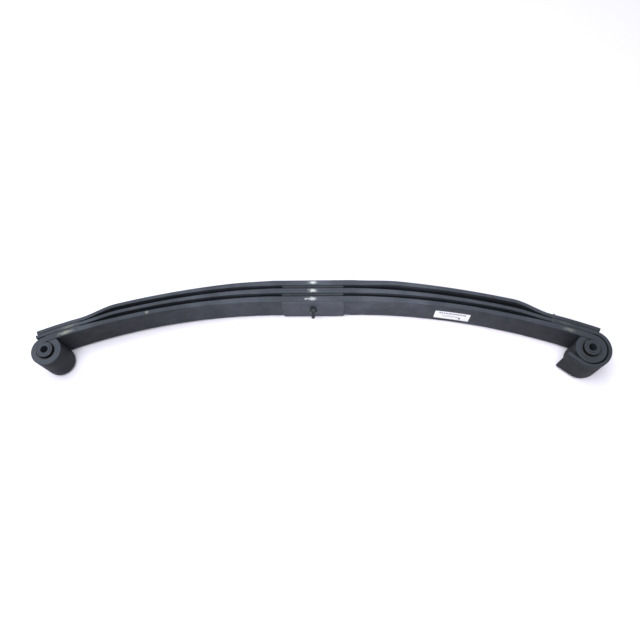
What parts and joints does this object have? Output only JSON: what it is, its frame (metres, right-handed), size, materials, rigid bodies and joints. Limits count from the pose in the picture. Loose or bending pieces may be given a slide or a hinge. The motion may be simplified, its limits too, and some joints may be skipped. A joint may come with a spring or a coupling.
{
  "type": "leaf spring",
  "caption": "Arched multi-leaf road spring with tapered leaves, rolled eyes, rubber bushes, a wrapped front eye and a centre bolt.",
  "frame": {"origin": "root of the round locating head of the centre bolt, on the back of the outermost leaf", "axes": "+X along the spring to the front eye, +Y out of the back of the arch, away from its hollow, +Z across the width of the leaves; the spring lies on its side on the bush ends"},
  "size_m": [0.9791, 0.1689, 0.0762],
  "materials": {
    "leaf_paint": "satin dark grey spray paint over rolled spring steel, with small bare scuffs",
    "bolt_paint": "satin dark grey paint over steel",
    "bush_steel": "satin dark grey paint over steel tube",
    "bush_rubber": "black rubber, painted over with the spring",
    "liner": "dark matt plastic strip",
    "label": "plain white vinyl sticker"
  },
  "bodies": {
    "seat": {"main_leaf": "leaf_paint", "second_leaf": "leaf_paint", "third_leaf": "leaf_paint", "upper_spacer": "leaf_paint", "lower_spacer": "leaf_paint", "base_pad": "leaf_paint", "centre_bolt": "bolt_paint", "centre_nut": "bolt_paint", "label": "label"},
    "front_eye": {"front_sleeve": "bush_steel", "front_rubber": "bush_rubber", "front_lower_liner": "liner", "front_upper_liner": "liner"},
    "rear_eye": {"rear_sleeve": "bush_steel", "rear_rubber": "bush_rubber", "rear_lower_liner": "liner", "rear_upper_liner": "liner"},
    "front_core": {"front_tube": "bush_steel"},
    "rear_core": {"rear_tube": "bush_steel"}
  },
  "joints": [
    {"name": "front_arm_flex", "type": "hinge", "parent": "seat", "child": "front_eye", "pos_m": [0.12, -0.0373, 0], "axis": [0, 0, 1], "range_deg": [0, 14], "stiffness_Nm_per_rad": 8000, "deforming": ["main_leaf", "second_leaf", "third_leaf", "label"]},
    {"name": "rear_arm_flex", "type": "hinge", "parent": "seat", "child": "rear_eye", "pos_m": [-0.12, -0.0373, 0], "axis": [0, 0, -1], "range_deg": [0, 14], "stiffness_Nm_per_rad": 8000, "deforming": ["main_leaf", "second_leaf", "third_leaf"]},
    {"name": "front_bush_twist", "type": "hinge", "parent": "front_eye", "child": "front_core", "pos_m": [0.464, -0.1287, 0], "axis": [0, 0, 1], "range_deg": [-15, 15], "stiffness_Nm_per_rad": 130, "deforming": ["front_rubber"]},
    {"name": "rear_bush_twist", "type": "hinge", "parent": "rear_eye", "child": "rear_core", "pos_m": [-0.456, -0.1287, 0], "axis": [0, 0, 1], "range_deg": [-15, 15], "stiffness_Nm_per_rad": 130, "deforming": ["rear_rubber"]}
  ]
}
